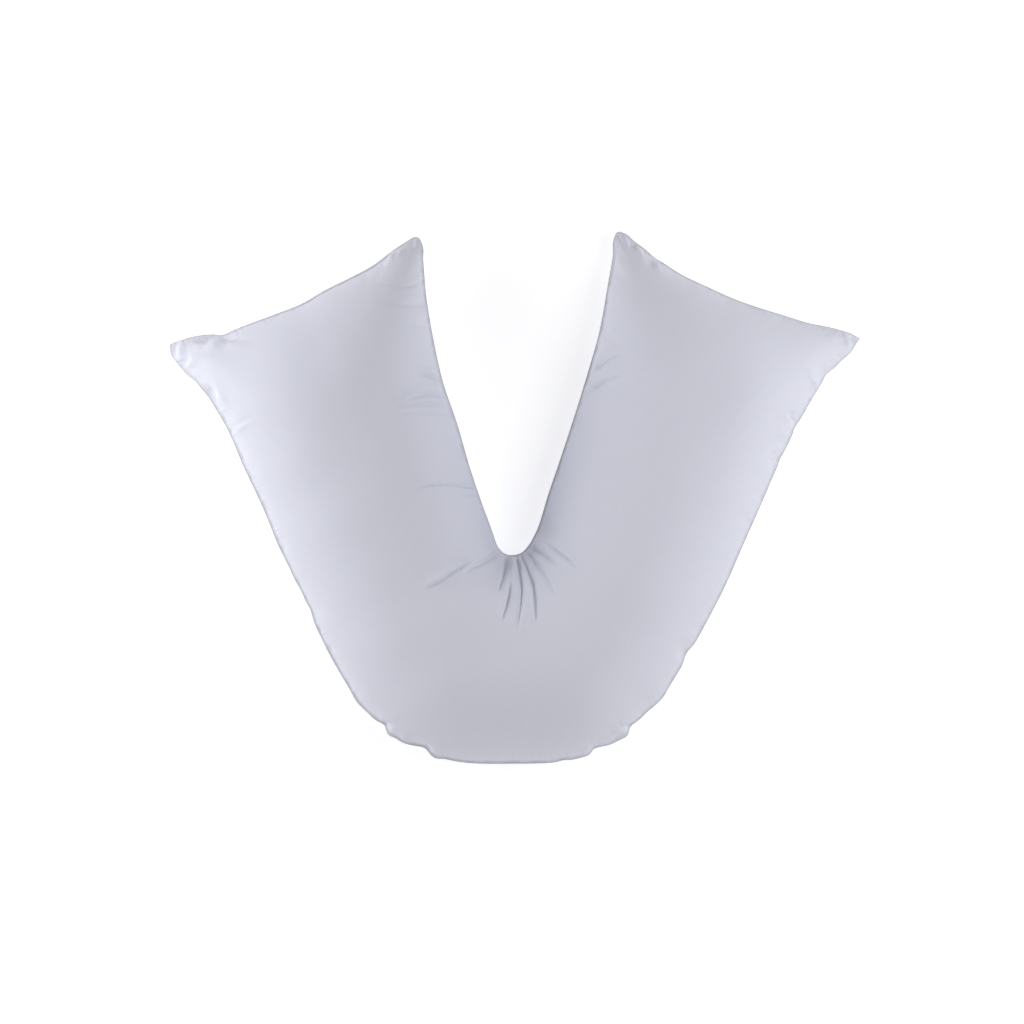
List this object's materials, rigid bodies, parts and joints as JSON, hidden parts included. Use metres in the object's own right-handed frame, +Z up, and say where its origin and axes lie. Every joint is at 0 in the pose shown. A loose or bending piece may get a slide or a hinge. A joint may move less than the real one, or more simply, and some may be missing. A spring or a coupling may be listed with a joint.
{
  "type": "v shaped pillow",
  "caption": "V shaped bed pillow of plain pale cloth, stuffed and crowned, with wide square-ended arms, a pointed seam all round and creases that fan out from the notch.",
  "frame": {"origin": "under the middle of the pillow's box, on the surface that it lies on", "axes": "+X from the end of one arm to the end of the other, +Y from the foot of the V to its open mouth, +Z up, out of the front panel"},
  "size_m": [0.7993, 0.6189, 0.154],
  "materials": {
    "cover_cloth": "smooth fine plain weave in a very pale lavender grey, matt with a soft sheen"
  },
  "bodies": {
    "root": {"pillow": "cover_cloth"}
  },
  "joints": []
}
